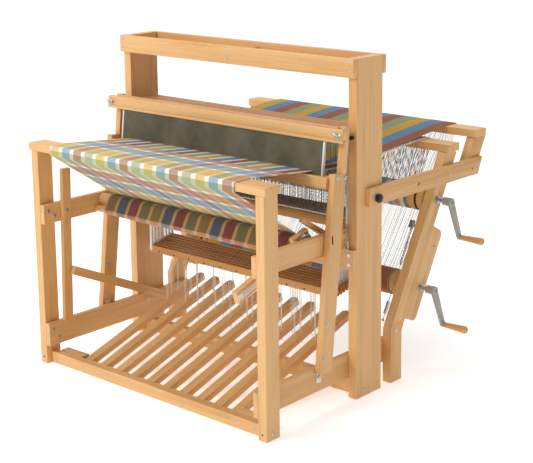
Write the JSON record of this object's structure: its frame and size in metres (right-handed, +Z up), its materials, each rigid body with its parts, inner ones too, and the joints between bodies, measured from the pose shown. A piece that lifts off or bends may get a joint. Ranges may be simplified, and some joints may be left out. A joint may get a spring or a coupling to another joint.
{
  "type": "folding floor loom",
  "caption": "Folding maple floor loom with treadles, lamms, lifting shafts, swinging beater, castle tray, two cranked warp beams and a striped warp woven into plaid cloth.",
  "frame": {"origin": "centre of the whole loom's box, on the floor", "axes": "+X to the weaver's right, +Y from the weaver towards the back, +Z up"},
  "size_m": [1.2394, 1.2208, 1.12],
  "materials": {
    "maple": "clear oiled hard maple",
    "shaft_maple": "bare maple in the shade of the castle",
    "treadle_maple": "oiled maple worn by feet",
    "steel": "satin",
    "cast_metal": "grey cast crank, satin",
    "black_plastic": "moulded knob",
    "plaid_cloth": "plain-weave cotton in coloured stripes",
    "warp_yarn": "cotton warp threads",
    "white_cord": "braided tie-up cord"
  },
  "bodies": {
    "frame": {"left_front_post": "maple", "right_front_post": "maple", "breast_beam": "maple", "front_rail": "maple", "left_upper_rail": "maple", "right_upper_rail": "maple", "left_lower_rail": "maple", "right_lower_rail": "maple", "left_castle_post": "maple", "right_castle_post": "maple", "castle_tray": "maple", "castle_foot_rail": "maple", "shaft_guide_board": "maple", "left_rear_leg": "maple", "right_rear_leg": "maple", "woven_cloth": "plaid_cloth", "warp": "warp_yarn"},
    "beater": {"left_beater_arm": "maple", "right_beater_arm": "maple", "beater_race": "maple", "beater_top_bars": "maple", "reed": "steel"},
    "back_frame": {"left_back_post": "maple", "right_back_post": "maple", "left_brace": "maple", "right_brace": "maple", "front_back_beam": "maple", "rear_back_beam": "maple"},
    "cloth_beam_body": {"cloth_beam": "maple"},
    "advance_handle_body": {"advance_handle": "maple"},
    "side_lever_body": {"side_lever": "maple"},
    "brake_pedal_body": {"brake_pedal": "maple"},
    "upper_warp_beam_body": {"upper_warp_beam": "maple"},
    "lower_warp_beam_body": {"lower_warp_beam": "maple"},
    "treadle_1_body": {"treadle_1": "treadle_maple"},
    "treadle_2_body": {"treadle_2": "treadle_maple"},
    "treadle_3_body": {"treadle_3": "treadle_maple"},
    "treadle_4_body": {"treadle_4": "treadle_maple"},
    "treadle_5_body": {"treadle_5": "treadle_maple"},
    "treadle_6_body": {"treadle_6": "treadle_maple"},
    "treadle_7_body": {"treadle_7": "treadle_maple"},
    "treadle_8_body": {"treadle_8": "treadle_maple"},
    "treadle_9_body": {"treadle_9": "treadle_maple"},
    "treadle_10_body": {"treadle_10": "treadle_maple"},
    "shaft_1_body": {"shaft_1": "shaft_maple"},
    "lamm_1_body": {"lamm_1": "maple"},
    "shaft_2_body": {"shaft_2": "shaft_maple"},
    "lamm_2_body": {"lamm_2": "maple"},
    "shaft_3_body": {"shaft_3": "shaft_maple"},
    "lamm_3_body": {"lamm_3": "maple"},
    "shaft_4_body": {"shaft_4": "shaft_maple"},
    "lamm_4_body": {"lamm_4": "maple"},
    "shaft_5_body": {"shaft_5": "shaft_maple"},
    "lamm_5_body": {"lamm_5": "maple"},
    "shaft_6_body": {"shaft_6": "shaft_maple"},
    "lamm_6_body": {"lamm_6": "maple"},
    "shaft_7_body": {"shaft_7": "shaft_maple"},
    "lamm_7_body": {"lamm_7": "maple"},
    "shaft_8_body": {"shaft_8": "shaft_maple"},
    "lamm_8_body": {"lamm_8": "maple"}
  },
  "joints": [
    {"name": "beater_swing", "type": "hinge", "parent": "frame", "child": "beater", "pos_m": [-0.06835, -0.2831, 0.118], "axis": [1, 0, 0], "range_deg": [0, 10]},
    {"name": "back_fold", "type": "hinge", "parent": "frame", "child": "back_frame", "pos_m": [-0.06835, 0.0849, 0.18], "axis": [1, 0, 0], "range_deg": [0, 26.7], "deforming": ["warp"]},
    {"name": "cloth_beam_turn", "type": "hinge", "parent": "frame", "child": "cloth_beam_body", "pos_m": [-0.06835, -0.3051, 0.552], "axis": [1, 0, 0], "continuous": true},
    {"name": "advance_handle_lift", "type": "hinge", "parent": "frame", "child": "advance_handle_body", "pos_m": [0.38265, -0.3051, 0.552], "axis": [-1, 0, 0], "range_deg": [0, 35]},
    {"name": "side_lever_swing", "type": "hinge", "parent": "frame", "child": "side_lever_body", "pos_m": [-0.54235, -0.4801, 0.534], "axis": [1, 0, 0], "range_deg": [-10, 10]},
    {"name": "brake_pedal_press", "type": "hinge", "parent": "frame", "child": "brake_pedal_body", "pos_m": [-0.52335, -0.0351, 0.13], "axis": [1, 0, 0], "range_deg": [0, 12], "stiffness_Nm_per_rad": 4, "springref_deg": -9.74},
    {"name": "upper_warp_beam_turn", "type": "hinge", "parent": "back_frame", "child": "upper_warp_beam_body", "pos_m": [-0.06835, 0.3159, 0.586], "axis": [1, 0, 0], "continuous": true},
    {"name": "lower_warp_beam_turn", "type": "hinge", "parent": "back_frame", "child": "lower_warp_beam_body", "pos_m": [-0.06835, 0.2239, 0.295], "axis": [1, 0, 0], "continuous": true},
    {"name": "treadle_1_press", "type": "hinge", "parent": "frame", "child": "treadle_1_body", "pos_m": [-0.418, -0.5061, 0.024], "axis": [-1, 0, 0], "range_deg": [0, 11], "stiffness_Nm_per_rad": 8, "springref_deg": -10.89},
    {"name": "treadle_2_press", "type": "hinge", "parent": "frame", "child": "treadle_2_body", "pos_m": [-0.3403, -0.5061, 0.024], "axis": [-1, 0, 0], "range_deg": [0, 11], "stiffness_Nm_per_rad": 8, "springref_deg": -10.89},
    {"name": "treadle_3_press", "type": "hinge", "parent": "frame", "child": "treadle_3_body", "pos_m": [-0.2626, -0.5061, 0.024], "axis": [-1, 0, 0], "range_deg": [0, 11], "stiffness_Nm_per_rad": 8, "springref_deg": -10.89},
    {"name": "treadle_4_press", "type": "hinge", "parent": "frame", "child": "treadle_4_body", "pos_m": [-0.1849, -0.5061, 0.024], "axis": [-1, 0, 0], "range_deg": [0, 11], "stiffness_Nm_per_rad": 8, "springref_deg": -10.89},
    {"name": "treadle_5_press", "type": "hinge", "parent": "frame", "child": "treadle_5_body", "pos_m": [-0.1072, -0.5061, 0.024], "axis": [-1, 0, 0], "range_deg": [0, 11], "stiffness_Nm_per_rad": 8, "springref_deg": -10.89},
    {"name": "treadle_6_press", "type": "hinge", "parent": "frame", "child": "treadle_6_body", "pos_m": [-0.0295, -0.5061, 0.024], "axis": [-1, 0, 0], "range_deg": [0, 11], "stiffness_Nm_per_rad": 8, "springref_deg": -10.89},
    {"name": "treadle_7_press", "type": "hinge", "parent": "frame", "child": "treadle_7_body", "pos_m": [0.0482, -0.5061, 0.024], "axis": [-1, 0, 0], "range_deg": [0, 11], "stiffness_Nm_per_rad": 8, "springref_deg": -10.89},
    {"name": "treadle_8_press", "type": "hinge", "parent": "frame", "child": "treadle_8_body", "pos_m": [0.1259, -0.5061, 0.024], "axis": [-1, 0, 0], "range_deg": [0, 11], "stiffness_Nm_per_rad": 8, "springref_deg": -10.89},
    {"name": "treadle_9_press", "type": "hinge", "parent": "frame", "child": "treadle_9_body", "pos_m": [0.2036, -0.5061, 0.024], "axis": [-1, 0, 0], "range_deg": [0, 11], "stiffness_Nm_per_rad": 8, "springref_deg": -10.89},
    {"name": "treadle_10_press", "type": "hinge", "parent": "frame", "child": "treadle_10_body", "pos_m": [0.2813, -0.5061, 0.024], "axis": [-1, 0, 0], "range_deg": [0, 11], "stiffness_Nm_per_rad": 8, "springref_deg": -10.89},
    {"name": "lamm_1_drop", "type": "slide", "parent": "frame", "child": "lamm_1_body", "axis": [0, 0, -1], "range_m": [0, 0.07]},
    {"name": "shaft_1_rise", "type": "slide", "parent": "frame", "child": "shaft_1_body", "axis": [0, 0, 1], "range_m": [0, 0.07]},
    {"name": "lamm_2_drop", "type": "slide", "parent": "frame", "child": "lamm_2_body", "axis": [0, 0, -1], "range_m": [0, 0.07]},
    {"name": "shaft_2_rise", "type": "slide", "parent": "frame", "child": "shaft_2_body", "axis": [0, 0, 1], "range_m": [0, 0.07]},
    {"name": "lamm_3_drop", "type": "slide", "parent": "frame", "child": "lamm_3_body", "axis": [0, 0, -1], "range_m": [0, 0.07]},
    {"name": "shaft_3_rise", "type": "slide", "parent": "frame", "child": "shaft_3_body", "axis": [0, 0, 1], "range_m": [0, 0.07]},
    {"name": "lamm_4_drop", "type": "slide", "parent": "frame", "child": "lamm_4_body", "axis": [0, 0, -1], "range_m": [0, 0.07]},
    {"name": "shaft_4_rise", "type": "slide", "parent": "frame", "child": "shaft_4_body", "axis": [0, 0, 1], "range_m": [0, 0.07]},
    {"name": "lamm_5_drop", "type": "slide", "parent": "frame", "child": "lamm_5_body", "axis": [0, 0, -1], "range_m": [0, 0.07]},
    {"name": "shaft_5_rise", "type": "slide", "parent": "frame", "child": "shaft_5_body", "axis": [0, 0, 1], "range_m": [0, 0.07]},
    {"name": "lamm_6_drop", "type": "slide", "parent": "frame", "child": "lamm_6_body", "axis": [0, 0, -1], "range_m": [0, 0.07]},
    {"name": "shaft_6_rise", "type": "slide", "parent": "frame", "child": "shaft_6_body", "axis": [0, 0, 1], "range_m": [0, 0.07]},
    {"name": "lamm_7_drop", "type": "slide", "parent": "frame", "child": "lamm_7_body", "axis": [0, 0, -1], "range_m": [0, 0.07]},
    {"name": "shaft_7_rise", "type": "slide", "parent": "frame", "child": "shaft_7_body", "axis": [0, 0, 1], "range_m": [0, 0.07]},
    {"name": "lamm_8_drop", "type": "slide", "parent": "frame", "child": "lamm_8_body", "axis": [0, 0, -1], "range_m": [0, 0.07]},
    {"name": "shaft_8_rise", "type": "slide", "parent": "frame", "child": "shaft_8_body", "axis": [0, 0, 1], "range_m": [0, 0.07]}
  ],
  "couplings": [
    {"joint": "lamm_1_drop", "follows": "treadle_1_press", "m_per_rad": 0.36},
    {"joint": "shaft_1_rise", "follows": "treadle_1_press", "m_per_rad": 0.36},
    {"joint": "lamm_2_drop", "follows": "treadle_2_press", "m_per_rad": 0.36},
    {"joint": "shaft_2_rise", "follows": "treadle_2_press", "m_per_rad": 0.36},
    {"joint": "lamm_3_drop", "follows": "treadle_3_press", "m_per_rad": 0.36},
    {"joint": "shaft_3_rise", "follows": "treadle_3_press", "m_per_rad": 0.36},
    {"joint": "lamm_4_drop", "follows": "treadle_4_press", "m_per_rad": 0.36},
    {"joint": "shaft_4_rise", "follows": "treadle_4_press", "m_per_rad": 0.36},
    {"joint": "lamm_5_drop", "follows": "treadle_5_press", "m_per_rad": 0.36},
    {"joint": "shaft_5_rise", "follows": "treadle_5_press", "m_per_rad": 0.36},
    {"joint": "lamm_6_drop", "follows": "treadle_6_press", "m_per_rad": 0.36},
    {"joint": "shaft_6_rise", "follows": "treadle_6_press", "m_per_rad": 0.36},
    {"joint": "lamm_7_drop", "follows": "treadle_7_press", "m_per_rad": 0.36},
    {"joint": "shaft_7_rise", "follows": "treadle_7_press", "m_per_rad": 0.36},
    {"joint": "lamm_8_drop", "follows": "treadle_8_press", "m_per_rad": 0.36},
    {"joint": "shaft_8_rise", "follows": "treadle_8_press", "m_per_rad": 0.36}
  ]
}
